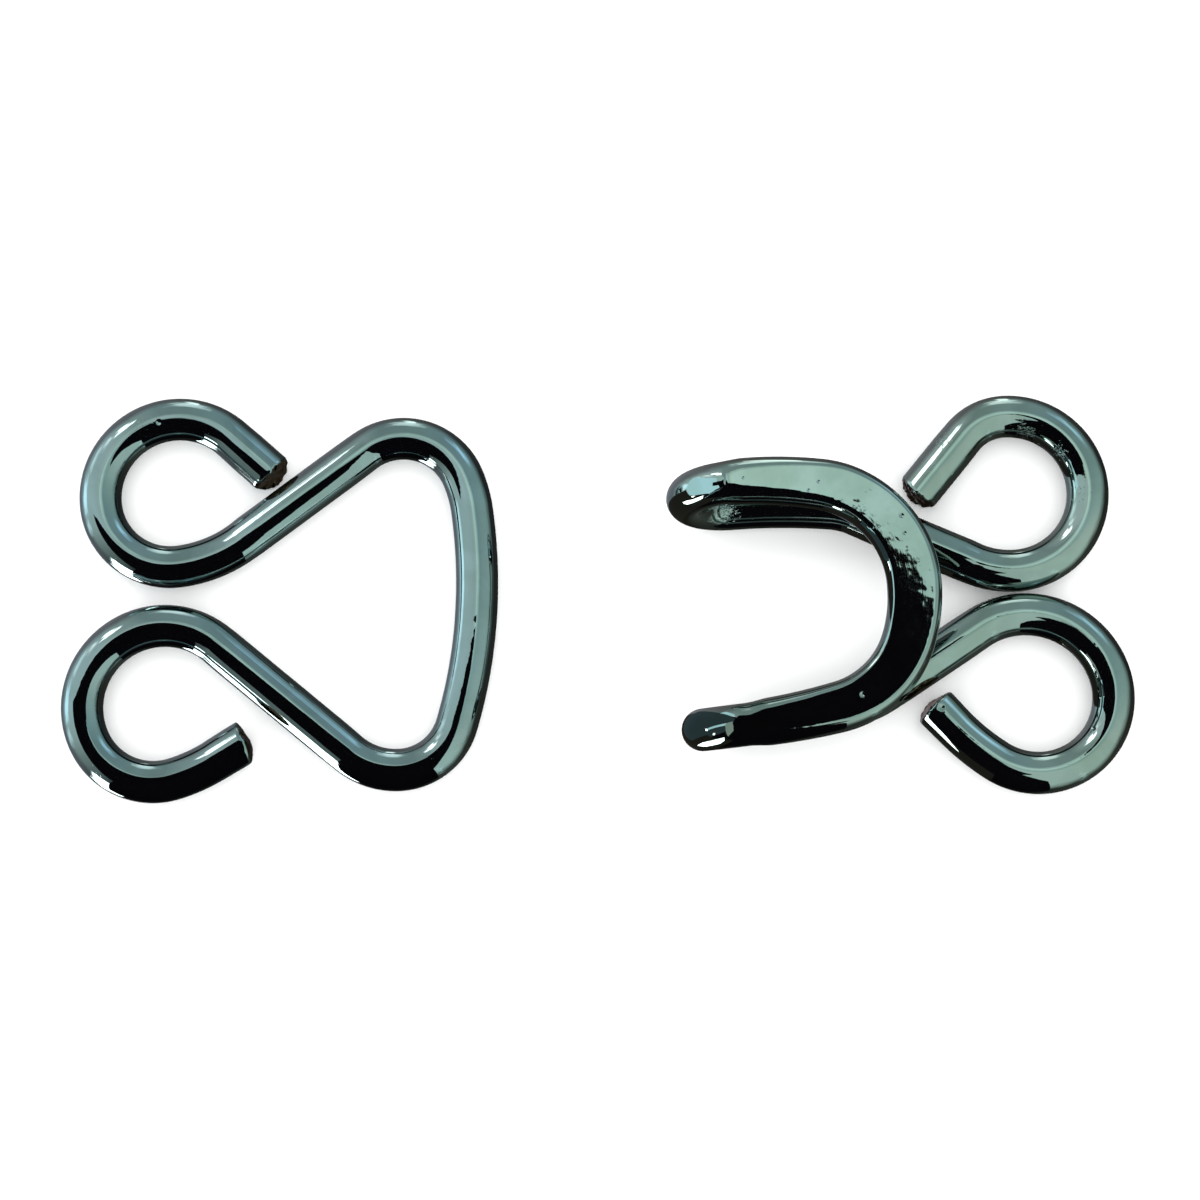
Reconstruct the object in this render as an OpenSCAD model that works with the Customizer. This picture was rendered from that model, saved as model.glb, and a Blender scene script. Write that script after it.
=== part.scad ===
// A wire hook and eye, the kind sewn to a coat or a fur. Each half is one length of wire, bent cold.
// They lie flat and apart, the eye to the left and the hook to the right with its bill on top.
// Lengths are in millimetres and angles in degrees.

/* [Wire] */
// Diameter of the wire of both halves
wire_d = 1.6; // [1.5:0.05:1.7]

/* [Bill] */
// Height of the bill's axis over the axis of the strands below it
bill_rise = 3.3; // [3.1:0.05:3.6]
// Width of the wire where the press has spread it most, round the bill's tip
bill_w = 2.04; // [1.9:0.02:2.1]
// Thickness of the bill at its tip
bill_t = 1.16; // [1:0.02:1.4]
// Length of the pressed faces, from the outside of the tip
press_l = 7.7; // [6:0.1:8.4]
// Slope of the pressed faces, which leaves the prongs thicker than the tip
press_slope = 1.2; // [0.5:0.1:1.5]
// Lean of each fold toward the other, so that the strands below run closer together than the prongs
lean = 7; // [3:0.5:10]

/* [Layout] */
// Place of the middle of the eye's bar, to the right
eye_x = -4.47; // [-8:0.01:-4.4]
// Place of the middle of the eye's bar, away from the viewer
eye_y = -0.4; // [-3:0.01:3]
// Turn of the eye to the left
eye_turn = -2.5; // [-10:0.5:10]
// Place of the middle of the bill's tip, to the right
hook_x = 11.43; // [11.4:0.01:15]
// Place of the middle of the bill's tip, away from the viewer
hook_y = -0.05; // [-3:0.01:3]
// Turn of the hook to the left
hook_turn = 3.5; // [-10:0.5:10]

/* [Hidden] */
$fn = 48;
wire_r = wire_d/2;
fold_r = bill_rise/2/cos(lean);
plating = [0.36, 0.41, 0.4];

// A bend draws the wire out and leaves it thinner by one hair or two, and each piece laps over its
// neighbours' ends, so that no two pieces share a surface
hair = 0.01;
lap = 0.03;

// Columns of the bending tables, whose rows run from the middle of a half out to a cut end. The wire is
// fed straight, turned about its own length, and bent through an angle, to the left if it is positive.
// The last column is how far the press has spread it, from 0 for round wire to 1 at the bill's tip.
feed = 0;
turn = 1;
radius = 2;
bend = 3;
spread = 4;

eye_upper = [
    [0, 0, 20, 10.5, 0], // bar
    [0, 0, 5, 15, 0],
    [0, 0, 2.4, 104, 0], // corner
    [5.6, 0, 4.9, -30, 0], // arm
    [0, 0, 2.6, -88, 0], // sewing loop
    [0, 0, 2.9, -140.5, 0],
    [1.85, 0, 0, 0, 0],
];

eye_lower = [
    [0, 0, 18.6, -13.5, 0], // bar
    [0, 0, 2.3, -71, 0], // corner
    [0, 0, 2.7, -42.5, 0],
    [6.35, 0, 3, 156.5, 0], // arm
    [0, 0, 2.6, 80, 0], // sewing loop
    [0, 0, 6.2, 15, 0],
    [1.2, 0, 0, 0, 0],
];

hook_upper = [
    [0, 0, 4, 65.5, 1], // bill
    [0, 0, 3.6, 13.5, 0.75],
    [0, 0, 15, 6, 0.5], // prong
    [0, 0, 15, 6, 0.25],
    [0, lean - 90, fold_r, 180, 0], // fold
    [0, lean - 90, 24.6, -8.5, 0], // strand
    [0, 0, 2.9, -19, 0],
    [4.7, 0, 3.4, 27.5, 0], // sewing loop
    [0, 0, 2.9, 180, 0],
    [0, 0, 2.1, 46.5, 0],
    [2.5, 0, 0, 0, 0],
];

hook_lower = [
    [0, 0, 5.7, -20.5, 1], // bill
    [0, 0, 3.6, -58, 0.75],
    [0, 0, 23.3, -4, 0.5], // prong
    [0, 0, 23.3, -4, 0.25],
    [0, -lean - 90, fold_r, 180, 0], // fold
    [0, -lean - 90, 33.1, 7, 0], // strand
    [0, 0, 3.5, 20, 0],
    [4.15, 0, 3.2, -106.5, 0], // sewing loop
    [0, 0, 2.8, -140, 0],
    [0, 0, 8.5, -14, 0],
    [0.9, 0, 0, 0, 0],
];

// How far the cut ends slope back from half height, up to the top and down to the underside. A face
// that leans out below has a negative second number.
eye_upper_cut = [0.35, -0.4];
eye_lower_cut = [0.1, -0.15];
hook_upper_cut = [0.2, -0.2];
hook_lower_cut = [0.1, -0.2];

// A straight length of wire along +X
module straight(l) {
    translate([-lap, 0, 0])
        rotate([0, 90, 0])
            cylinder(r = wire_r, h = l + 2*lap);
}

// A bend of wire of radius r, from +X to the left or the right
module bent(bend_r, a, r) {
    over = lap/bend_r*180/PI;
    start = a > 0 ? -90 : 90 + a;
    translate([0, sign(a)*bend_r, 0])
        rotate([0, 0, start - over])
            rotate_extrude(angle = abs(a) + 2*over)
                translate([bend_r, 0])
                    circle(r = r);
}

// The last length, cut off by two faces that meet at half height
module cut_off(l, cut) {
    high = 2*wire_r;
    intersection() {
        straight(l + wire_d);
        rotate([90, 0, 0])
            linear_extrude(height = 2*wire_d, center = true)
                polygon([[-l, high], [l - 2*cut[0], high], [l, 0], [l - 2*cut[1], -high], [-l, -high]]);
    }
}

// Follows a bending table from row i on. The two strands of a half start even and odd, which keeps
// their first pieces a hair apart.
module strand(rows, odd, cut, i = 0) {
    row = rows[i];
    side = sign(row[bend])*row[radius];
    spread_r = wire_r + row[spread]*(bill_w - wire_d)/2;
    if (i == len(rows) - 1)
        cut_off(row[feed], cut);
    else {
        if (row[feed] > 0)
            straight(row[feed]);
        translate([row[feed], 0, 0])
            rotate([row[turn], 0, 0]) {
                bent(row[radius], row[bend], spread_r - hair*(1 + (i + odd) % 2));
                translate([0, side, 0])
                    rotate([0, 0, row[bend]])
                        translate([0, -side, 0])
                            strand(rows, odd, cut, i + 1);
            }
    }
}

// What the press takes off the bill, above and below
module press() {
    deep = bill_w/2;
    wide = 10*bill_w;
    for (below = [0, 1])
        mirror([0, 0, below])
            translate([bill_w/2, 0, bill_t/2])
                rotate([0, press_slope, 0])
                    translate([-press_l, -wide/2, 0])
                        cube([press_l + deep, wide, deep]);
}

module eye() color(plating)
    translate([eye_x, eye_y, wire_r])
        rotate([0, 0, eye_turn]) {
            rotate([0, 0, 90])
                strand(eye_upper, 0, eye_upper_cut);
            rotate([0, 0, -90])
                strand(eye_lower, 1, eye_lower_cut);
        }

module hook() color(plating)
    translate([hook_x, hook_y, wire_r + bill_rise])
        rotate([0, 0, hook_turn])
            difference() {
                union() {
                    rotate([0, 0, 90])
                        strand(hook_upper, 0, hook_upper_cut);
                    rotate([0, 0, -90])
                        strand(hook_lower, 1, hook_lower_cut);
                }
                press();
            }

eye();
hook();
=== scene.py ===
import math

import bmesh
import bpy
from mathutils import Matrix, Vector


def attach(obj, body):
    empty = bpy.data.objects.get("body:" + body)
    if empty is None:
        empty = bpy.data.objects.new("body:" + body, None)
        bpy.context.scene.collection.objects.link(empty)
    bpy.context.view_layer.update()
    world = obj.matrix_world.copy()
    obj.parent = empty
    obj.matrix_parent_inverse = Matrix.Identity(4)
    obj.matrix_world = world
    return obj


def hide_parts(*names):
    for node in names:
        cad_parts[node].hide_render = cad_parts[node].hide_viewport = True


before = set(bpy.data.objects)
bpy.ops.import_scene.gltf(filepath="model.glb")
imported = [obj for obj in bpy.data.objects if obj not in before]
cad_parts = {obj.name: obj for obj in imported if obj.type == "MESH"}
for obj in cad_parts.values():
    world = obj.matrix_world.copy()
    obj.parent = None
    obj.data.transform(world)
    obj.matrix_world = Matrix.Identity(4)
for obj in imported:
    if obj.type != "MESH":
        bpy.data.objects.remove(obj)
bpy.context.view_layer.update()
mm = 0.001

print("camera")
camera = {
    "target": (0.08, 0.05, 0.0),  # mm, what the middle of the picture looks at
    "elevation": 81.0,  # degrees above the surface
    "distance": 160.0,  # mm
    "lens": 129.6,  # mm, on a sensor 36 mm wide
    "sensor": 36.0,
    "near": 0.005,  # m, where its view starts
    "far": 10.0,  # m, where it ends
}
lens = bpy.data.cameras.new("camera")
lens.lens = camera["lens"]
lens.sensor_width = camera["sensor"]
lens.clip_start = camera["near"]
lens.clip_end = camera["far"]
viewer = bpy.data.objects.new("camera", lens)
tilt = math.radians(camera["elevation"])
back = Vector((0, -math.cos(tilt), math.sin(tilt)))
viewer.location = (Vector(camera["target"]) + back * camera["distance"]) * mm
viewer.rotation_mode = "QUATERNION"
viewer.rotation_quaternion = (-back).to_track_quat("-Z", "Y")
bpy.context.scene.collection.objects.link(viewer)
bpy.context.scene.camera = viewer

wire = {
    "radius": 0.795,  # mm, of the straight lengths
    "thinning": 0.018,  # mm that a bend takes off the radius
    "easing": 0.5,  # mm of wire over which the radius changes
    "ringGap": 0.11,  # mm between rings round a bend
    "fineGap": 0.04,  # mm between them where the pressed faces end
    "straightGap": 0.4,  # mm between rings on a straight length
    "sides": 72,
    "endReach": 0.01,  # mm along the wire within which a point belongs to its open end
    "rounding": 0.06,  # mm, of the rims of the cut ends
    "rimBend": 0.29,  # share of the rounding by which the middle of the rim draws in and stands back
    "stepBack": 2.2,  # roundings from the cut face back to the last whole ring
    "faceRings": (0.72, 0.56, 0.4, 0.25, 0.12),  # of the radius, on the cut face
}

# The bends of each half run from its middle out to a cut end: the wire is fed straight, turned about its
# own length, then bent round a radius, to the left if the angle is positive. Press is how far the press
# has spread the wire by the end of the bend, 1 at the tip of the bill. Lengths in mm, angles in degrees.
bendColumns = ("feed", "turn", "radius", "angle", "press")

# A cut end reaches past the end of the wire by so many mm at its middle, top, bottom, left and right,
# seen from above and looking along the wire. Ragged is how rough the break is.
eyeShape = {
    "place": (-4.47, -0.4, 0.8),  # mm, of the middle of the bar
    "turn": -2.5,
    "upper": [
        (0, 0, 20, 10.5, 0),  # bar
        (0, 0, 5, 15, 0),
        (0, 0, 2.4, 104, 0),  # corner
        (5.6, 0, 4.9, -30, 0),  # arm
        (0, 0, 2.6, -88, 0),  # sewing loop
        (0, 0, 2.9, -140.5, 0),
        (1.85, 0, 0, 0, 0),
    ],
    "lower": [
        (0, 0, 18.6, -13.5, 0),  # bar
        (0, 0, 2.3, -71, 0),  # corner
        (0, 0, 2.7, -42.5, 0),
        (6.35, 0, 3, 156.5, 0),  # arm
        (0, 0, 2.6, 80, 0),  # sewing loop
        (0, 0, 6.2, 15, 0),
        (1.2, 0, 0, 0, 0),
    ],
    "upperCut": {"middle": 0.26, "top": 0.2, "bottom": 0.5, "left": 0.2, "right": 0.05, "ragged": 0.03},
    "lowerCut": {"middle": 0.3, "top": 0.08, "bottom": 0.1, "left": 0.24, "right": -0.09, "ragged": 0.015},
    "pressed": False,
}

foldLean = 7
foldRise = 3.3
foldRadius = foldRise / 2 / math.cos(math.radians(foldLean))

hookShape = {
    "place": (11.43, -0.05, 0.8 + foldRise),  # mm, of the tip of the bill
    "turn": 3.5,
    "upper": [
        (0, 0, 4, 65.5, 0.8),  # bill
        (0, 0, 3.6, 13.5, 0.7),
        (0, 0, 15, 6, 0.5),  # prong
        (0, 0, 15, 6, 0.3),
        (0, foldLean - 90, foldRadius, 180, 0),  # fold
        (0, foldLean - 90, 24.6, -8.5, 0),  # strand
        (0, 0, 2.9, -19, 0),
        (4.7, 0, 3.4, 27.5, 0),  # sewing loop
        (0, 0, 2.9, 180, 0),
        (0, 0, 2.1, 46.5, 0),
        (2.5, 0, 0, 0, 0),
    ],
    "lower": [
        (0, 0, 5.7, -20.5, 0.9),  # bill
        (0, 0, 3.6, -58, 0.7),
        (0, 0, 23.3, -4, 0.5),  # prong
        (0, 0, 23.3, -4, 0.3),
        (0, -foldLean - 90, foldRadius, 180, 0),  # fold
        (0, -foldLean - 90, 33.1, 7, 0),  # strand
        (0, 0, 3.5, 20, 0),
        (4.15, 0, 3.2, -106.5, 0),  # sewing loop
        (0, 0, 2.8, -140, 0),
        (0, 0, 8.5, -14, 0),
        (0.9, 0, 0, 0, 0),
    ],
    "upperCut": {"middle": 0.38, "top": 0.38, "bottom": 0.46, "left": 0.16, "right": 0.12, "ragged": 0.035},
    "lowerCut": {"middle": 0.2, "top": 0.07, "bottom": 0.36, "left": 0.0, "right": 0.05, "ragged": 0.02},
    "pressed": True,
}

press = {
    "spread": 0.215,  # mm that the press adds to the radius at the tip of the bill
    "half": 0.58,  # mm, half the thickness at the tip
    "slope": 1.2,  # degrees that each face leans, thinnest at the tip
    "edge": 0.1,  # mm of rounding where a face runs out
    "length": 7.72,  # mm from the outside of the tip to the end of the faces
    "skew": 0.015,  # how much longer they are toward the lower prong, per mm
    "step": 0.05,  # mm over which they end
    "faded": 8.2,  # mm of wire from the tip to where the spread starts to fade
    "fading": 0.9,  # mm of wire over which it is gone
    "wire": 11.0,  # mm of wire from the tip that the press can reach
    "fine": (6.5, 9.2),  # mm of wire from the tip between which the rings stand closer
}


def followBends(rows, heading, left, fine):
    place, ahead, side = Vector((0, 0, 0)), Vector(heading), Vector(left)
    trail = [{"place": place.copy(), "bent": 0.0, "press": 1.0, "along": 0.0}]
    along, pressed = 0.0, 1.0
    for row in rows:
        bend = dict(zip(bendColumns, row))
        feed = bend["feed"]
        angle = math.radians(bend["angle"])
        arc = abs(bend["radius"] * angle)
        pressStep = (bend["press"] - pressed) / max(feed + arc, 0.001)
        steps = math.ceil(feed / wire["straightGap"])
        for k in range(steps):
            along += feed / steps
            place = place + ahead * (feed / steps)
            pressed += pressStep * feed / steps
            trail.append({"place": place.copy(), "bent": 0.0, "press": pressed, "along": along})
        side.rotate(Matrix.Rotation(math.radians(bend["turn"]), 3, ahead))
        if not arc:
            continue
        steps = math.ceil(arc / wire["fineGap" if fine[0] < along < fine[1] else "ringGap"])
        centre = place + side * math.copysign(bend["radius"], angle)
        stepTurn = Matrix.Rotation(angle / steps, 3, ahead.cross(side))
        for k in range(steps):
            place = centre + stepTurn @ (place - centre)
            ahead.rotate(stepTurn)
            side.rotate(stepTurn)
            along += arc / steps
            pressed += pressStep * arc / steps
            trail.append({"place": place.copy(), "bent": 1.0, "press": pressed, "along": along})
    return trail, {"place": place, "ahead": ahead, "along": along}


def ringRadius(trail, k, pressed):
    near = [p["bent"] for p in trail if abs(p["along"] - trail[k]["along"]) <= wire["easing"]]
    radius = wire["radius"] - wire["thinning"] * sum(near) / len(near)
    if pressed:
        past = abs(trail[k]["along"]) - press["faded"]
        fade = min(max(1 - past / press["fading"], 0), 1)
        radius += press["spread"] * trail[k]["press"] * fade * fade * (3 - 2 * fade)
    return radius


def wireTrail(shape):
    fine = press["fine"] if shape["pressed"] else (0, 0)
    upper, upperEnd = followBends(shape["upper"], (0, 1, 0), (-1, 0, 0), fine)
    lower, lowerEnd = followBends(shape["lower"], (0, -1, 0), (1, 0, 0), fine)
    for point in (*lower, lowerEnd):
        point["along"] = -point["along"]
    return upper[::-1] + lower[1:], upperEnd, lowerEnd


def trailObject(name, trail, pressed):
    mesh = bpy.data.meshes.new(name)
    mesh.from_pydata([p["place"] * mm for p in trail], [(k, k + 1) for k in range(len(trail) - 1)], [])
    radius = mesh.attributes.new("ringRadius", "FLOAT", "POINT")
    radius.data.foreach_set("value", [ringRadius(trail, k, pressed) * mm for k in range(len(trail))])
    along = mesh.attributes.new("along", "FLOAT", "POINT")
    along.data.foreach_set("value", [p["along"] * mm for p in trail])
    made = bpy.data.objects.new(name, mesh)
    bpy.context.scene.collection.objects.link(made)
    return made


def addSocket(tree, name, kind, way, value=None):
    socket = tree.interface.new_socket(name=name, in_out=way, socket_type="NodeSocket" + kind)
    if value is not None:
        socket.default_value = value
    return socket


def nodeMaker(tree):
    def make(kind, inputs=None, **settings):
        node = tree.nodes.new(kind)
        for key, value in settings.items():
            setattr(node, key, value)
        for key, value in (inputs or {}).items():
            if isinstance(value, bpy.types.NodeSocket):
                tree.links.new(value, node.inputs[key])
            else:
                node.inputs[key].default_value = value
        return node
    return make


def reckoner(make):
    def reckon(operation, *values):
        return make("ShaderNodeMath", dict(enumerate(values)), operation=operation).outputs[0]
    return reckon


def wireTree():
    tree = bpy.data.node_groups.new("bentWire", "GeometryNodeTree")
    addSocket(tree, "Path", "Geometry", "INPUT")
    addSocket(tree, "Sides", "Int", "INPUT", wire["sides"])
    addSocket(tree, "Face Half Thickness", "Float", "INPUT", 1.0)
    addSocket(tree, "Face Slope", "Float", "INPUT", 0.0)
    addSocket(tree, "Face Edge", "Float", "INPUT", 0.0)
    addSocket(tree, "Tip", "Float", "INPUT", 0.0)
    addSocket(tree, "Face Length", "Float", "INPUT", 0.0)
    addSocket(tree, "Face Skew", "Float", "INPUT", 0.0)
    addSocket(tree, "Face Step", "Float", "INPUT", 0.001)
    addSocket(tree, "Pressed Wire", "Float", "INPUT", 0.0)
    addSocket(tree, "Finish", "Material", "INPUT")
    addSocket(tree, "Wire", "Geometry", "OUTPUT")
    make = nodeMaker(tree)
    reckon = reckoner(make)
    given = make("NodeGroupInput").outputs
    path = make("GeometryNodeMeshToCurve", {"Mesh": given["Path"]})
    radius = make("GeometryNodeInputNamedAttribute", {"Name": "ringRadius"}, data_type="FLOAT")
    spot = make("GeometryNodeInputPosition").outputs[0]
    centred = make(
        "GeometryNodeStoreNamedAttribute",
        {"Geometry": path.outputs[0], "Name": "centre", "Value": spot},
        data_type="FLOAT_VECTOR",
    )
    profile = make("GeometryNodeCurvePrimitiveCircle", {"Resolution": given["Sides"], "Radius": 1.0})
    marked = make(
        "GeometryNodeStoreNamedAttribute",
        {"Geometry": profile.outputs[0], "Name": "around", "Value": spot},
        data_type="FLOAT_VECTOR",
    )
    swept = make(
        "GeometryNodeCurveToMesh",
        {"Curve": centred.outputs[0], "Profile Curve": marked.outputs[0], "Scale": radius.outputs[0]},
    )
    centre = make("GeometryNodeInputNamedAttribute", {"Name": "centre"}, data_type="FLOAT_VECTOR")
    along = make("GeometryNodeInputNamedAttribute", {"Name": "along"}, data_type="FLOAT")
    here = make("ShaderNodeSeparateXYZ", {"Vector": spot}).outputs
    middle = make("ShaderNodeSeparateXYZ", {"Vector": centre.outputs[0]}).outputs
    reach = reckon("SUBTRACT", given["Tip"], here["X"])
    slope = reckon("TANGENT", given["Face Slope"])
    half = reckon("MULTIPLY_ADD", reach, slope, given["Face Half Thickness"])
    height = reckon("SUBTRACT", here["Z"], middle["Z"])
    topped = reckon("SMOOTH_MIN", height, half, given["Face Edge"])
    flat = reckon("SMOOTH_MAX", topped, reckon("MULTIPLY", half, -1.0), given["Face Edge"])
    skewed = reckon("MULTIPLY_ADD", here["Y"], given["Face Skew"], reach)
    left = reckon("DIVIDE", reckon("SUBTRACT", given["Face Length"], skewed), given["Face Step"])
    share = make("ShaderNodeMapRange", {"Value": left}, interpolation_type="SMOOTHSTEP")
    drop = reckon("MULTIPLY", reckon("SUBTRACT", flat, height), share.outputs[0])
    shift = make("ShaderNodeCombineXYZ", {"Z": drop})
    inReach = reckon("LESS_THAN", reckon("ABSOLUTE", along.outputs[0]), given["Pressed Wire"])
    pressed = make(
        "GeometryNodeSetPosition",
        {"Geometry": swept.outputs[0], "Selection": inReach, "Offset": shift.outputs[0]},
    )
    smooth = make("GeometryNodeSetShadeSmooth", {"Geometry": pressed.outputs[0]})
    whole = make("GeometryNodeRealizeInstances", {"Geometry": smooth.outputs[0]})
    finished = make("GeometryNodeSetMaterial", {"Geometry": whole.outputs[0], "Material": given["Finish"]})
    make("NodeGroupOutput", {"Wire": finished.outputs[0]})
    return tree


def runTree(made, tree, values):
    modifier = made.modifiers.new(tree.name, "NODES")
    modifier.node_group = tree
    named = {s.name: s.identifier for s in tree.interface.items_tree if s.in_out == "INPUT"}
    for name, value in values.items():
        modifier[named[name]] = value
    bpy.context.view_layer.update()
    evaluated = made.evaluated_get(bpy.context.evaluated_depsgraph_get())
    mesh = bpy.data.meshes.new_from_object(evaluated)
    made.modifiers.clear()
    made.data = mesh


# The grain of a broken face: how fast it waves across and upward and where it starts, and a finer set
grain = {"across": 9.1, "acrossStart": 2.3, "up": 7.7, "upStart": 1.1}
fineGrain = {"across": 23, "up": 17, "strength": 0.6}


def cutReach(cut, across, up):
    reach = cut["middle"] * (1 - across * across - up * up)
    reach += cut["left" if across > 0 else "right"] * across * across
    reach += cut["top" if up > 0 else "bottom"] * up * up
    coarse = math.sin(grain["across"] * across + grain["acrossStart"])
    coarse *= math.sin(grain["up"] * up + grain["upStart"])
    fine = math.sin(fineGrain["across"] * across - fineGrain["up"] * up)
    return reach + cut["ragged"] * (coarse + fineGrain["strength"] * fine)


# The open last ring moves back a little, and rings of falling size close the end over the rounded rim
def closeEnd(shell, end, cut):
    alongLayer = shell.verts.layers.float["along"]
    aroundLayer = shell.verts.layers.float_vector["around"]
    ring = [v for v in shell.verts if v.is_boundary]
    ring = [v for v in ring if abs(v[alongLayer] / mm - end["along"]) < wire["endReach"]]
    left = Vector((0, 0, 1)).cross(end["ahead"])
    centre = end["place"] * mm
    spokes = []
    for vert in ring:
        offset = (vert.co - centre) / mm
        spokes.append({
            "vert": vert,
            "across": offset.dot(left),
            "up": offset.z,
            "angle": math.atan2(offset.z, offset.dot(left)),
            "around": Vector(vert[aroundLayer]),
        })
    spokes.sort(key=lambda spoke: spoke["angle"])
    full = wire["radius"]
    rounding = wire["rounding"]
    drawn = wire["rimBend"] * rounding
    steps = [(full, -rounding), (full - drawn, -drawn), (full - rounding, 0), (full - 2 * rounding, 0)]
    steps += [(full * share, 0) for share in wire["faceRings"]]

    def place(spoke, radius, lag):
        share = radius / full
        across, up = spoke["across"] * share, spoke["up"] * share
        reach = cutReach(cut, across / full, up / full) + lag
        return centre + (left * across + Vector((0, 0, up)) + end["ahead"] * reach) * mm

    before = [spoke["vert"] for spoke in spokes]
    for spoke in spokes:
        spoke["vert"].co = place(spoke, full, -wire["stepBack"] * rounding)
    for radius, lag in steps:
        now = []
        for spoke in spokes:
            vert = shell.verts.new(place(spoke, radius, lag))
            vert[alongLayer] = end["along"] * mm
            vert[aroundLayer] = spoke["around"] * (radius / full)
            now.append(vert)
        for k in range(len(now)):
            after = (k + 1) % len(now)
            shell.faces.new((before[k], before[after], now[after], now[k])).smooth = True
        before = now
    tip = shell.verts.new(centre + end["ahead"] * cutReach(cut, 0, 0) * mm)
    tip[alongLayer] = end["along"] * mm
    for k in range(len(before)):
        shell.faces.new((before[k], before[(k + 1) % len(before)], tip)).smooth = True


def finishWire(made, ends, shape):
    shell = bmesh.new()
    shell.from_mesh(made.data)
    for end, cut in ends:
        closeEnd(shell, end, cut)
    bmesh.ops.recalc_face_normals(shell, faces=shell.faces)
    shell.to_mesh(made.data)
    shell.free()
    made.data.attributes.remove(made.data.attributes["centre"])
    turn = Matrix.Rotation(math.radians(shape["turn"]), 4, "Z")
    made.data.transform(Matrix.Translation(Vector(shape["place"]) * mm) @ turn)


tree = wireTree()

# The finish: sizes and depths in mm, levels as the noise's own
plating = {
    "eyeTone": (0.305, 0.385, 0.39, 1),
    "hookTone": (0.33, 0.4, 0.378, 1),
    "roughness": 0.025,
    "tarnishTone": (0.74, 0.76, 0.7, 1),  # what the tone is multiplied by
    "tarnishSize": 1.7,
    "tarnished": 0.55,  # how much of it shows at most
    "tarnishLevels": (0.35, 0.7),  # where it starts and is full
    "cutTone": (0.2, 0.13, 0.085, 1),
    "cutLevels": (0.98, 1.0),  # where the bare face ends, as a share of the radius
    "cutUneven": 0.1,
    "cutGrain": 5000.0,  # per m
    "lineDepth": 0.0003,
    "linesAround": 9.0,  # per radius
    "linesAlong": 120.0,  # per m
    "waveSize": 0.9,
    "waveDepth": 0.005,
    "dentSize": 0.28,
    "dentDepth": 0.0014,
    "pitSize": 0.055,
    "pitDepth": 0.012,
    "pitLevel": 0.78,  # over which the skin is pitted where nothing has scuffed it
    "pitDrop": 0.4,  # by which a full scuff lowers that level
    "pitEdge": 0.12,  # over which a pit reaches its depth
    "singleDepth": 0.03,  # of the single dents
}
# Where the tools have scuffed the plating: middle and reach in mm, and how much of the skin is pitted
scuffs = {
    "eye": [
        ((-16.9, 6.3, 1.5), 1.1, 0.35),
        ((-17.8, 1.2, 1.3), 0.9, 0.3),
        ((-12.6, 3.0, 1.5), 0.9, 0.4),
        ((-14.5, 5.8, 1.2), 0.7, 0.35),
        ((-6.3, 5.0, 1.2), 0.8, 0.35),
        ((-6.4, -5.9, 1.5), 0.7, 0.4),
        ((-18.2, -6.8, 1.3), 0.9, 0.35),
        ((-12.3, -5.6, 1.3), 0.8, 0.3),
    ],
    "hook": [
        ((9.5, 2.7, 4.7), 0.42, 0.6),
        ((10.1, 2.0, 4.7), 0.42, 0.65),
        ((10.6, 1.3, 4.7), 0.38, 0.55),
        ((11.5, 0.8, 4.7), 0.42, 0.65),
        ((9.2, -2.9, 4.7), 0.4, 0.5),
        ((15.8, 6.1, 1.3), 0.9, 0.85),
        ((17.0, 5.4, 1.3), 0.7, 0.8),
        ((17.9, 3.8, 1.3), 0.9, 0.6),
        ((12.7, 5.7, 1.4), 0.7, 0.75),
        ((12.3, 4.6, 1.5), 0.5, 0.35),
        ((4.75, 3.05, 1.55), 1.0, 0.85),
    ],
}
# Single dents: place and reach in mm
dents = {
    "eye": [((-16.2, 6.45, 1.55), 0.14), ((-5.2, 2.1, 1.6), 0.1), ((-4.2, -2.9, 1.6), 0.13)],
    "hook": [
        ((12.55, -4.18, 1.59), 0.2),
        ((10.95, 2.39, 4.71), 0.1),
        ((11.05, 1.75, 4.71), 0.08),
        ((7.96, 3.62, 4.78), 0.07),
        ((9.48, -4.13, 4.75), 0.11),
        ((18.11, -4.93, 1.42), 0.12),
        ((5.25, 3.75, 4.82), 0.06),
        ((7.6, 3.3, 4.78), 0.07),
    ],
}


def shaderGroup(name, sockets, kind, result):
    tree = bpy.data.node_groups.new(name, "ShaderNodeTree")
    for label, socketKind, value in sockets:
        addSocket(tree, label, socketKind, "INPUT", value)
    addSocket(tree, result, kind, "OUTPUT")
    make = nodeMaker(tree)
    return tree, make, reckoner(make), make("NodeGroupInput").outputs


# Fine lines that the drawing die leaves along the wire
def drawnLinesGroup():
    tree, make, reckon, given = shaderGroup("drawnLines", [
        ("Along", "Float", 0.0),
        ("Around", "Vector", (0, 0, 0)),
        ("Depth", "Float", 0.0),
        ("Below", "Float", 0.0),
    ], "Float", "Height")
    settings = {0: given["Around"], "Scale": plating["linesAround"]}
    spread = make("ShaderNodeVectorMath", settings, operation="SCALE").outputs[0]
    along = reckon("MULTIPLY", given["Along"], plating["linesAlong"])
    shift = make("ShaderNodeCombineXYZ", {"Z": along}).outputs[0]
    spot = make("ShaderNodeVectorMath", {0: spread, 1: shift}, operation="ADD").outputs[0]
    noise = make("ShaderNodeTexNoise", {"Vector": spot, "Scale": 1.0, "Detail": 3.0}).outputs[0]
    height = reckon("MULTIPLY_ADD", noise, given["Depth"], given["Below"])
    make("NodeGroupOutput", {"Height": height})
    return tree


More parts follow.
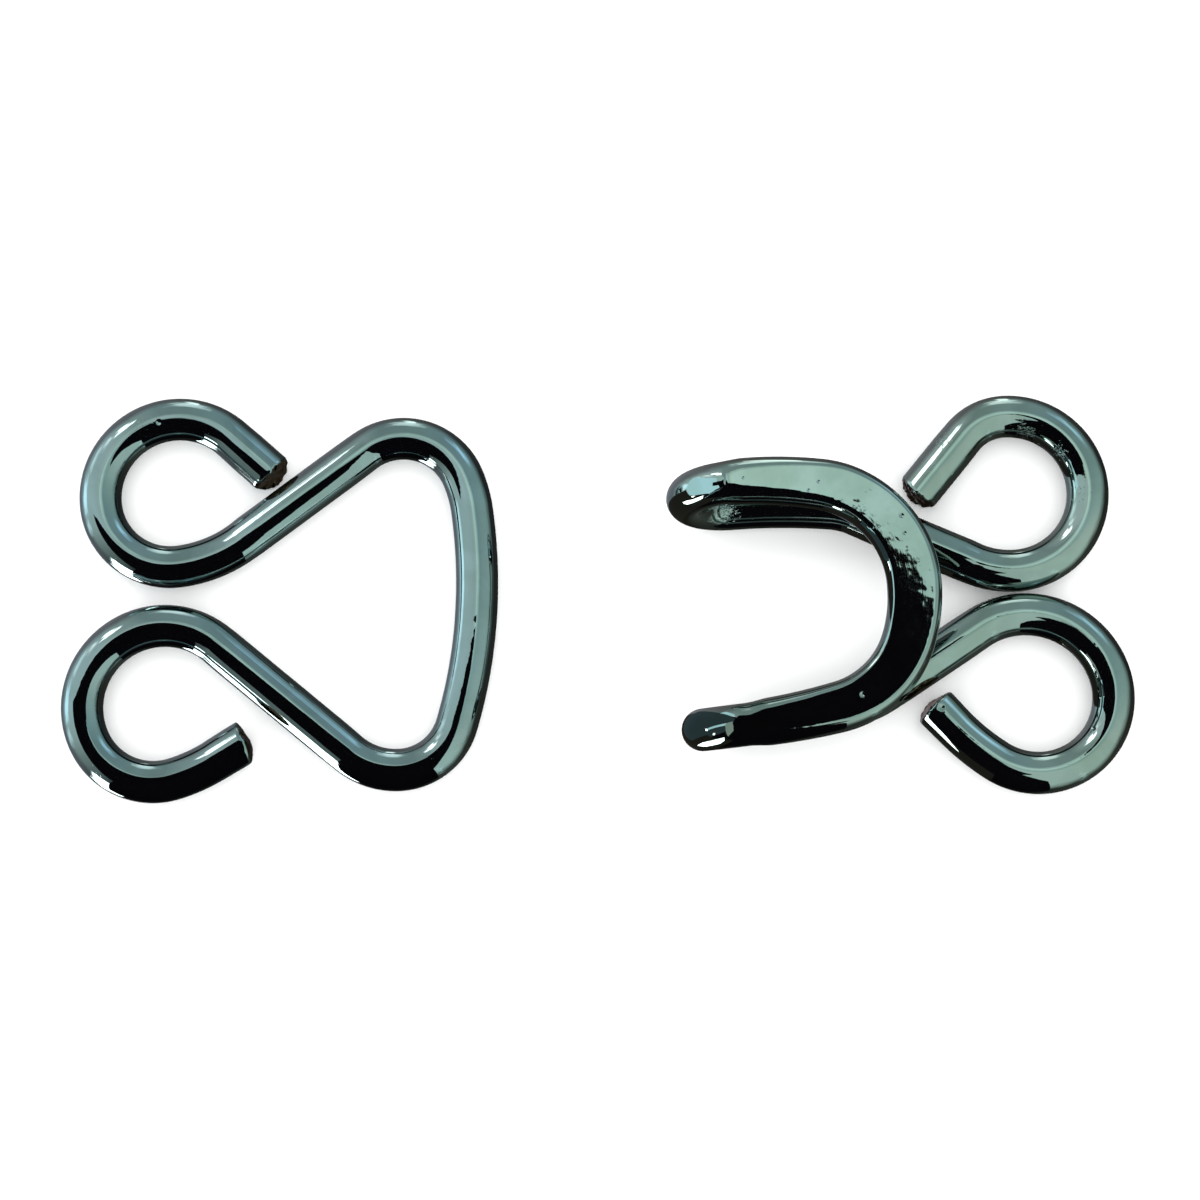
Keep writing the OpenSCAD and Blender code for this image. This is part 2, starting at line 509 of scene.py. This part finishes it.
# Uneven bends and the small dents that handling leaves
def wavySkinGroup():
    tree, make, reckon, given = shaderGroup("wavySkin", [
        ("Spot", "Vector", (0, 0, 0)),
        ("Size", "Float", 0.001),
        ("Depth", "Float", 0.0),
        ("Below", "Float", 0.0),
    ], "Float", "Height")
    scale = reckon("DIVIDE", 1.0, given["Size"])
    settings = {"Vector": given["Spot"], "Scale": scale, "Detail": 1.0, "Roughness": 0.4}
    noise = make("ShaderNodeTexNoise", settings).outputs[0]
    make("NodeGroupOutput", {"Height": reckon("MULTIPLY_ADD", noise, given["Depth"], given["Below"])})
    return tree


# A soft round region about a place, kept where it is stronger than what it is given
def scuffGroup():
    tree, make, reckon, given = shaderGroup("scuff", [
        ("Spot", "Vector", (0, 0, 0)),
        ("Place", "Vector", (0, 0, 0)),
        ("Reach", "Float", 0.001),
        ("Amount", "Float", 1.0),
        ("Below", "Float", 0.0),
    ], "Float", "Share")
    settings = {0: given["Spot"], 1: given["Place"]}
    away = make("ShaderNodeVectorMath", settings, operation="DISTANCE").outputs[1]
    settings = {"Value": reckon("DIVIDE", away, given["Reach"]), "To Min": 1.0, "To Max": 0.0}
    inside = make("ShaderNodeMapRange", settings, interpolation_type="SMOOTHSTEP").outputs[0]
    share = reckon("MAXIMUM", reckon("MULTIPLY", inside, given["Amount"]), given["Below"])
    make("NodeGroupOutput", {"Share": share})
    return tree


# Pits and burrs, as dense as their share of the skin
def pitsGroup():
    tree, make, reckon, given = shaderGroup("pits", [
        ("Spot", "Vector", (0, 0, 0)),
        ("Size", "Float", 0.0001),
        ("Share", "Float", 0.0),
        ("Depth", "Float", 0.0),
        ("Below", "Float", 0.0),
    ], "Float", "Height")
    scale = reckon("DIVIDE", 0.5, given["Size"])
    settings = {"Vector": given["Spot"], "Scale": scale, "Detail": 2.0, "Roughness": 0.6}
    noise = make("ShaderNodeTexNoise", settings).outputs[0]
    drop = reckon("MULTIPLY", given["Share"], plating["pitDrop"])
    level = reckon("SUBTRACT", plating["pitLevel"], drop)
    settings = {"Value": reckon("SUBTRACT", noise, level), "From Max": plating["pitEdge"]}
    bump = make("ShaderNodeMapRange", settings, interpolation_type="SMOOTHSTEP").outputs[0]
    make("NodeGroupOutput", {"Height": reckon("MULTIPLY_ADD", bump, given["Depth"], given["Below"])})
    return tree


# How much of the skin is the bare steel of a cut end
def cutFaceGroup():
    tree, make, reckon, given = shaderGroup("cutFace", [
        ("Around", "Vector", (0, 0, 0)),
        ("Spot", "Vector", (0, 0, 0)),
        ("Plated", "Color", (1, 1, 1, 1)),
        ("Bare", "Color", (0, 0, 0, 1)),
    ], "Color", "Tone")
    length = make("ShaderNodeVectorMath", {0: given["Around"]}, operation="LENGTH").outputs[1]
    settings = {"Vector": given["Spot"], "Scale": plating["cutGrain"], "Detail": 2.0}
    noise = make("ShaderNodeTexNoise", settings).outputs[0]
    rim = reckon("MULTIPLY_ADD", noise, plating["cutUneven"], length)
    inner, outer = plating["cutLevels"]
    settings = {"Value": rim, "From Min": inner, "From Max": outer, "To Min": 1.0, "To Max": 0.0}
    bare = make("ShaderNodeMapRange", settings).outputs[0]
    settings = {0: bare, 6: given["Plated"], 7: given["Bare"]}
    tone = make("ShaderNodeMix", settings, data_type="RGBA").outputs[2]
    make("NodeGroupOutput", {"Tone": tone})
    return tree


# Cloudy plating: what the tone is multiplied by, in places
def tarnishGroup():
    tree, make, reckon, given = shaderGroup("tarnish", [
        ("Spot", "Vector", (0, 0, 0)),
        ("Size", "Float", 0.001),
        ("Share", "Float", 0.5),
        ("Tone", "Color", (1, 1, 1, 1)),
        ("Tarnish", "Color", (1, 1, 1, 1)),
    ], "Color", "Tone")
    scale = reckon("DIVIDE", 1.0, given["Size"])
    settings = {"Vector": given["Spot"], "Scale": scale, "Detail": 3.0, "Distortion": 0.6}
    noise = make("ShaderNodeTexNoise", settings).outputs[0]
    start, full = plating["tarnishLevels"]
    settings = {"Value": noise, "From Min": start, "From Max": full, "To Max": given["Share"]}
    cloud = make("ShaderNodeMapRange", settings, interpolation_type="SMOOTHSTEP").outputs[0]
    settings = {0: cloud, 6: given["Tone"], 7: given["Tarnish"]}
    tone = make("ShaderNodeMix", settings, data_type="RGBA", blend_type="MULTIPLY").outputs[2]
    make("NodeGroupOutput", {"Tone": tone})
    return tree


groups = {
    "lines": drawnLinesGroup(),
    "waves": wavySkinGroup(),
    "scuff": scuffGroup(),
    "pits": pitsGroup(),
    "cut": cutFaceGroup(),
    "tarnish": tarnishGroup(),
}


def platedWire(name, tone, scuffed, dented):
    paint = bpy.data.materials.new(name)
    paint.use_nodes = True
    nodes = paint.node_tree
    shader = nodes.nodes["Principled BSDF"]
    make = nodeMaker(nodes)

    def place(group, values):
        return make("ShaderNodeGroup", values, node_tree=groups[group]).outputs[0]

    spot = make("ShaderNodeTexCoord").outputs["Object"]
    along = make("ShaderNodeAttribute", attribute_name="along").outputs["Fac"]
    around = make("ShaderNodeAttribute", attribute_name="around").outputs["Vector"]
    height = place("lines", {"Along": along, "Around": around, "Depth": plating["lineDepth"] * mm})
    for size, depth in (("waveSize", "waveDepth"), ("dentSize", "dentDepth")):
        values = {"Spot": spot, "Size": plating[size] * mm, "Depth": plating[depth] * mm, "Below": height}
        height = place("waves", values)
    share = 0.0
    for middle, reach, amount in scuffed:
        values = {"Spot": spot, "Place": Vector(middle) * mm, "Reach": reach * mm, "Amount": amount}
        share = place("scuff", {**values, "Below": share})
    values = {"Spot": spot, "Size": plating["pitSize"] * mm, "Depth": plating["pitDepth"] * mm}
    height = place("pits", {**values, "Share": share, "Below": height})
    dent = 0.0
    for middle, reach in dented:
        values = {"Spot": spot, "Place": Vector(middle) * mm, "Reach": reach * mm, "Amount": 1.0}
        dent = place("scuff", {**values, "Below": dent})
    skin = make("ShaderNodeBump", {"Height": height, "Distance": 1.0})
    values = {"Height": dent, "Distance": plating["singleDepth"] * mm, "Normal": skin.outputs[0]}
    sunk = make("ShaderNodeBump", values, invert=True)
    nodes.links.new(sunk.outputs[0], shader.inputs["Normal"])
    values = {"Spot": spot, "Size": plating["tarnishSize"] * mm, "Share": plating["tarnished"], "Tone": tone}
    plated = place("tarnish", {**values, "Tarnish": plating["tarnishTone"]})
    cut = place("cut", {"Around": around, "Spot": spot, "Plated": plated, "Bare": plating["cutTone"]})
    nodes.links.new(cut, shader.inputs["Base Color"])
    shader.inputs["Metallic"].default_value = 1.0
    shader.inputs["Roughness"].default_value = plating["roughness"]
    return paint


print("eye")
trail, upperEnd, lowerEnd = wireTrail(eyeShape)
eye = trailObject("eye_wire", trail, False)
runTree(eye, tree, {"Finish": platedWire("eyePlating", plating["eyeTone"], scuffs["eye"], dents["eye"])})
finishWire(eye, [(upperEnd, eyeShape["upperCut"]), (lowerEnd, eyeShape["lowerCut"])], eyeShape)
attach(eye, "root")
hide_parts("eye")

print("hook")
trail, upperEnd, lowerEnd = wireTrail(hookShape)
hook = trailObject("hook_wire", trail, True)
runTree(
    hook,
    tree,
    {
        "Finish": platedWire("hookPlating", plating["hookTone"], scuffs["hook"], dents["hook"]),
        "Face Half Thickness": press["half"] * mm,
        "Face Slope": math.radians(press["slope"]),
        "Face Edge": press["edge"] * mm,
        "Tip": (wire["radius"] + press["spread"]) * mm,
        "Face Length": press["length"] * mm,
        "Face Skew": press["skew"],
        "Face Step": press["step"] * mm,
        "Pressed Wire": press["wire"] * mm,
    },
)
finishWire(hook, [(upperEnd, hookShape["upperCut"]), (lowerEnd, hookShape["lowerCut"])], hookShape)
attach(hook, "root")
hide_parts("hook")

print("studio")
studio = {
    "floorTone": (0.9, 0.9, 0.9, 1),
    "floorHalf": 2.0,  # m, half its side
    "softLight": 2.0,  # of the white that lights the floor
    # Walls and ceiling that the wires mirror, by heading in degrees, 0 to the right and 90 away
    "walls": [
        (-100, (0.6, 0.8, 0.75, 1)),
        (-62, (0.8, 0.98, 0.92, 1)),
        (-40, (0.82, 1.02, 0.93, 1)),
        (-15, (0.8, 0.95, 0.88, 1)),
        (5, (0.6, 0.79, 0.75, 1)),
        (30, (0.44, 0.62, 0.63, 1)),
        (62, (0.36, 0.5, 0.54, 1)),
        (85, (0.42, 0.55, 0.55, 1)),
        (108, (0.4, 0.5, 0.5, 1)),
        (128, (0.75, 0.86, 0.86, 1)),
        (150, (0.76, 0.92, 0.93, 1)),
        (172, (0.84, 1.02, 1.04, 1)),
        (190, (0.7, 0.84, 0.82, 1)),
        (205, (0.42, 0.5, 0.48, 1)),
        (225, (0.2, 0.24, 0.23, 1)),
        (240, (0.012, 0.01, 0.013, 1)),
    ],
    # How far from straight up the walls end, in degrees, after fading over as many as the blur
    "wallEnds": [
        (-100, 100), (-60, 118), (-40, 122), (-20, 106), (0, 104), (20, 114), (40, 106), (60, 112),
        (80, 122), (100, 122), (122, 98), (140, 112), (160, 130), (182, 130), (205, 122), (240, 110),
    ],
    "wallBlur": 42.0,
    # Degrees by which edges in the room wander, and how finely
    "uneven": 16.0,
    "unevenScale": 7.0,
    # What they mirror below the walls
    "under": [
        (-90, (0.02, 0.02, 0.016, 1)),
        (-45, (0.08, 0.085, 0.075, 1)),
        (-10, (0.05, 0.048, 0.04, 1)),
        (25, (0.035, 0.035, 0.036, 1)),
        (60, (0.07, 0.07, 0.07, 1)),
        (95, (0.18, 0.17, 0.17, 1)),
        (125, (0.32, 0.3, 0.33, 1)),
        (165, (0.26, 0.28, 0.33, 1)),
        (205, (0.2, 0.21, 0.23, 1)),
        (240, (0.02, 0.018, 0.014, 1)),
    ],
}
# Bright patches that the wires mirror, with uneven edges: heading, angle from straight up, half width and
# half height in degrees, blur as a share, strength and tint
patchColumns = ("Patch Heading", "Patch Tilt", "Half Width", "Half Height", "Blur", "Strength", "Tint")
patches = [
    (126, 50, 5, 13, 0.5, 3.8, (1, 1, 1, 1)),
    (138, 60, 6, 15, 0.9, 1.1, (1, 1, 1, 1)),
    (150, 76, 12, 15, 0.8, 0.8, (0.8, 0.95, 1, 1)),
    (172, 88, 14, 18, 0.7, 1.3, (0.65, 0.95, 1.15, 1)),
    (190, 98, 6, 24, 0.9, 0.9, (0.75, 0.92, 1, 1)),
    (228, 112, 10.5, 34, 0.25, 9, (1, 1.03, 1.02, 1)),
    (50, 64, 15, 15, 0.8, 1.0, (0.55, 0.9, 1.25, 1)),
    (90, 82, 13, 20, 0.7, 1.3, (0.95, 1, 1, 1)),
    (-53, 92, 2.5, 40, 0.8, 0.4, (0.7, 1, 1, 1)),
    (88, 98, 4, 12, 0.5, 2.0, (1, 1.05, 1.02, 1)),
    (76, 10, 75, 16, 1.0, 0.8, (0.9, 1.1, 0.93, 1)),
]


# Where a heading lies on the ramps of colours round the room
def headingShare(degrees):
    return ((degrees - 90) / 360 + 0.5) % 1.0


def patchGroup():
    tree = bpy.data.node_groups.new("brightPatch", "ShaderNodeTree")
    for name, kind, value in (
        ("Heading", "Float", 0.0),
        ("Tilt", "Float", 0.0),
        ("Patch Heading", "Float", 0.0),
        ("Patch Tilt", "Float", 0.0),
        ("Half Width", "Float", 10.0),
        ("Half Height", "Float", 10.0),
        ("Blur", "Float", 0.5),
        ("Tint", "Color", (1, 1, 1, 1)),
        ("Strength", "Float", 1.0),
        ("Below", "Color", (0, 0, 0, 1)),
    ):
        addSocket(tree, name, kind, "INPUT", value)
    addSocket(tree, "Light", "Color", "OUTPUT")
    make = nodeMaker(tree)
    reckon = reckoner(make)
    given = make("NodeGroupInput").outputs

    def within(value, middle, half):
        off = reckon("DIVIDE", reckon("ABSOLUTE", reckon("SUBTRACT", value, middle)), half)
        start = reckon("SUBTRACT", 1.0, given["Blur"])
        settings = {"Value": off, "From Min": start, "To Min": 1.0, "To Max": 0.0}
        return make("ShaderNodeMapRange", settings, interpolation_type="SMOOTHSTEP").outputs[0]

    across = within(given["Heading"], given["Patch Heading"], given["Half Width"])
    along = within(given["Tilt"], given["Patch Tilt"], given["Half Height"])
    share = reckon("MULTIPLY", reckon("MULTIPLY", across, along), given["Strength"])
    scaled = make("ShaderNodeVectorMath", {"Vector": given["Tint"], "Scale": share}, operation="SCALE")
    added = make("ShaderNodeVectorMath", {0: given["Below"], 1: scaled.outputs[0]}, operation="ADD")
    make("NodeGroupOutput", {"Light": added.outputs[0]})
    return tree


def rampNode(make, share, stops):
    node = make("ShaderNodeValToRGB", {"Fac": share})
    ramp = node.color_ramp
    stops = sorted(stops)
    ramp.elements[0].position, ramp.elements[0].color = stops[0]
    ramp.elements[-1].position, ramp.elements[-1].color = stops[-1]
    for position, colour in stops[1:-1]:
        ramp.elements.new(position).color = colour
    return node.outputs[0]


def studioWorld():
    world = bpy.data.worlds.new("studio")
    world.use_nodes = True
    tree = world.node_tree
    tree.nodes.clear()
    make = nodeMaker(tree)
    reckon = reckoner(make)
    view = make("ShaderNodeTexCoord").outputs["Generated"]
    toward = make("ShaderNodeSeparateXYZ", {"Vector": view}).outputs
    turned = reckon("ARCTAN2", reckon("MULTIPLY", toward["X"], -1.0), toward["Y"])
    heading = reckon("MULTIPLY_ADD", turned, 180 / math.pi, 90.0)
    tilt = reckon("MULTIPLY", reckon("ARCCOSINE", toward["Z"]), 180 / math.pi)
    share = reckon("MULTIPLY_ADD", turned, 0.5 / math.pi, 0.5)
    walls = rampNode(make, share, [(headingShare(h), colour) for h, colour in studio["walls"]])
    under = rampNode(make, share, [(headingShare(h), colour) for h, colour in studio["under"]])
    ends = rampNode(make, share, [(headingShare(h), (*[t / 180] * 3, 1)) for h, t in studio["wallEnds"]])
    ripple = make("ShaderNodeTexNoise", {"Vector": view, "Scale": studio["unevenScale"], "Detail": 2.0})
    parts = make("ShaderNodeSeparateXYZ", {"Vector": ripple.outputs["Color"]}).outputs
    offsets = [reckon("MULTIPLY", reckon("SUBTRACT", parts[k], 0.5), studio["uneven"]) for k in (0, 1)]
    heading = reckon("ADD", heading, offsets[0])
    tilt = reckon("ADD", tilt, offsets[1])
    left = reckon("SUBTRACT", reckon("MULTIPLY", ends, 180.0), tilt)
    settings = {"Value": left, "From Max": studio["wallBlur"]}
    inRoom = make("ShaderNodeMapRange", settings, interpolation_type="SMOOTHSTEP")
    settings = {0: inRoom.outputs[0], 6: under, 7: walls}
    mirrored = make("ShaderNodeMix", settings, data_type="RGBA").outputs[2]
    group = patchGroup()
    for row in patches:
        values = {"Heading": heading, "Tilt": tilt, "Below": mirrored, **dict(zip(patchColumns, row))}
        mirrored = make("ShaderNodeGroup", values, node_tree=group).outputs[0]
    soft = make("ShaderNodeBackground", {"Color": (1, 1, 1, 1), "Strength": studio["softLight"]})
    seen = make("ShaderNodeBackground", {"Color": mirrored, "Strength": 1.0})
    ray = make("ShaderNodeLightPath").outputs["Is Glossy Ray"]
    both = make("ShaderNodeMixShader", {0: ray, 1: soft.outputs[0], 2: seen.outputs[0]})
    make("ShaderNodeOutputWorld", {"Surface": both.outputs[0]})
    return world


bpy.context.scene.world = studioWorld()

half = studio["floorHalf"]
corners = [(-half, -half, 0), (half, -half, 0), (half, half, 0), (-half, half, 0)]
floorMesh = bpy.data.meshes.new("floor")
floorMesh.from_pydata(corners, [], [(0, 1, 2, 3)])
floor = bpy.data.objects.new("floor", floorMesh)
floorPaint = bpy.data.materials.new("paleFloor")
floorPaint.use_nodes = True
floorPaint.node_tree.nodes["Principled BSDF"].inputs["Base Color"].default_value = studio["floorTone"]
floorMesh.materials.append(floorPaint)
floor.visible_glossy = False
bpy.context.scene.collection.objects.link(floor)

# Panels that only the wires' mirror finish sees, by their corners in mm. A dark hood, a top with walls below
# it, stands over both halves toward the camera's side. The other panels show only to the hook.
hood = {
    "height": 38.0,
    "top": [
        (-56, 4), (-2, 4.3), (0, 2), (7, -10), (11, -16.5), (17.5, -33), (29, -61), (13, -35.5),
        (-20, -35.5), (-53, -51.5), (-56, -51.5),
    ],
    "wall": [(29, -61), (13, -35.5), (-20, -35.5), (-53, -51.5)],
    "wallFoot": -40.0,
    "tone": (0.005, 0.004, 0.006, 1),
    # Leans to the right over the bill, and edges its dark reflection
    "flapSlope": 0.3,  # mm to the right for each mm of height
    "flapMiddle": 7.0,  # where it is as high as the hood
    "flap": [
        (-0.8, -35.5), (20, -35.5), (20, -31), (14, -13), (14.2, -3.5), (15, -1), (18.3, 2), (22.3, 6),
        (25, 11), (21.9, 13.2), (16.04, 14.3), (12.6, 11.6), (10.3, 10.6), (7, 8.4), (3.1, 5.8), (-0.8, 3.2),
    ],
    # Darkens the outside of the lower prong
    "shade": [(9, -11.6, 10), (14, -15.5, 16), (14, -15.5, 36), (9, -11.6, 22)],
    # Stands left of the folds
    "screen": [(-1.1, -45), (-1.1, 3)],
    "screenTop": 4.4,
    "screenTone": (0.03, 0.026, 0.022, 1),
    # Light before the screen, one upright face for each mark on the folds. The slanting faces stand edge on
    # to the fold that doesn't show them.
    "sky": [
        [(-1, 0.6, 4.5), (-1, 7, 4.5), (-1, 7, 13), (-1, 0.6, 15)],
        [
            (-1, 0.6, 15), (0.8, -1.68, 11.6), (1.15, -2.12, 8.8), (1.3, -2.31, 6.9), (0.8, -1.68, 6.9),
            (0.1, -0.79, 5.9), (-0.5, -0.03, 4.9), (-1, 0.6, 4.5),
        ],
        [
            (0.06, -5.64, 5), (0.32, -4.98, 6.7), (0.57, -4.35, 8.8), (0.79, -3.82, 11.2),
            (0.2, -5.27, 12.4), (0.14, -5.44, 9.3), (-0.02, -5.82, 6.9), (-0.23, -6.34, 4.9),
        ],
    ],
    "skyTone": (1.0, 1.45, 1.6, 1),
    "lamps": [
        [
            (-0.5, 0, 1.8), (-0.3, -0.3, 2.9), (0.15, -0.85, 3.6), (0.7, -1.6, 5.7), (1.2, -2.2, 4.3),
            (0.8, -1.7, 2.4), (0.4, -1.2, 1.5),
        ],
        [
            (2.27, -7.41, 0.5), (2.27, -7.41, 2.4), (2.15, -7.95, 2.95), (1.86, -9.26, 4.1),
            (1.39, -11.36, 5.8), (0.07, -17.27, 3.4), (-0.84, -21.35, -3), (1.47, -11, -2.8),
        ],
        [(0.07, -5.6, 4.85), (0.01, -5.75, 5.2), (-0.29, -6.5, 5.1), (-0.21, -6.3, 4.75)],
        [(-1.1, -8.5, 6.2), (-1.3, -9, 6.7), (-1.94, -10.6, 6.2), (-1.66, -9.9, 5.7)],
    ],
    "lampsTone": (7, 7.3, 7.2, 1),
    # The pale and the dark ground of the lower fold's tip
    "haze": [[
        (2.8, -5.05, 6.6), (2.91, -4.56, 7), (3, -4.16, 7.8), (2.52, -6.3, 9.2), (1.85, -9.3, 10.2),
        (0.92, -13.46, 7.4), (2.1, -8.18, 7.2), (2.53, -6.26, 6.9),
    ]],
    "hazeTone": (0.5, 0.58, 0.52, 1),
    "dusk": [[(1.9, -0.8, -2), (1.9, -0.8, 12), (-2.3, -11.3, 12), (-2.3, -11.3, -2)]],
    "duskTone": (0.06, 0.085, 0.1, 1),
}


def panelPaint(name, tone, oneSided):
    paint = bpy.data.materials.new(name)
    paint.use_nodes = True
    paint.node_tree.nodes.clear()
    make = nodeMaker(paint.node_tree)
    shine = make("ShaderNodeEmission", {"Color": tone, "Strength": 1.0}).outputs[0]
    if oneSided:
        clear = make("ShaderNodeBsdfTransparent").outputs[0]
        away = make("ShaderNodeNewGeometry").outputs["Backfacing"]
        shine = make("ShaderNodeMixShader", {0: away, 1: shine, 2: clear}).outputs[0]
    make("ShaderNodeOutputMaterial", {"Surface": shine})
    return paint


def addPanel(name, faces, tone, oneSided=False):
    mesh = bpy.data.meshes.new(name)
    corners = [Vector(corner) * mm for face in faces for corner in face]
    starts = [sum(len(face) for face in faces[:k]) for k in range(len(faces))]
    mesh.from_pydata(corners, [], [range(n, n + len(face)) for n, face in zip(starts, faces)])
    mesh.materials.append(panelPaint(name, tone, oneSided))
    panel = bpy.data.objects.new(name, mesh)
    for way in ("camera", "diffuse", "shadow", "transmission", "volume_scatter"):
        setattr(panel, "visible_" + way, False)
    bpy.context.scene.collection.objects.link(panel)


def standing(start, end, foot, top):
    return [(*start, foot), (*end, foot), (*end, top), (*start, top)]


foot = hood["wallFoot"]
roof = [(x, y, hood["height"]) for x, y in hood["top"]]
walls = [standing(a, b, foot, hood["height"]) for a, b in zip(hood["wall"], hood["wall"][1:])]
addPanel("hood", [roof, *walls], hood["tone"])
lift = [(x - hood["flapMiddle"]) / hood["flapSlope"] for x, y in hood["flap"]]
flap = [(x, y, hood["height"] + rise) for (x, y), rise in zip(hood["flap"], lift)]
addPanel("flap", [flap[::-1], hood["shade"][::-1]], hood["tone"], oneSided=True)
addPanel("screen", [standing(*hood["screen"], foot, hood["screenTop"])], hood["screenTone"], oneSided=True)
for name in ("sky", "lamps", "haze", "dusk"):
    addPanel(name, hood[name], hood[name + "Tone"], oneSided=True)

bpy.context.scene.view_settings.view_transform = "Standard"
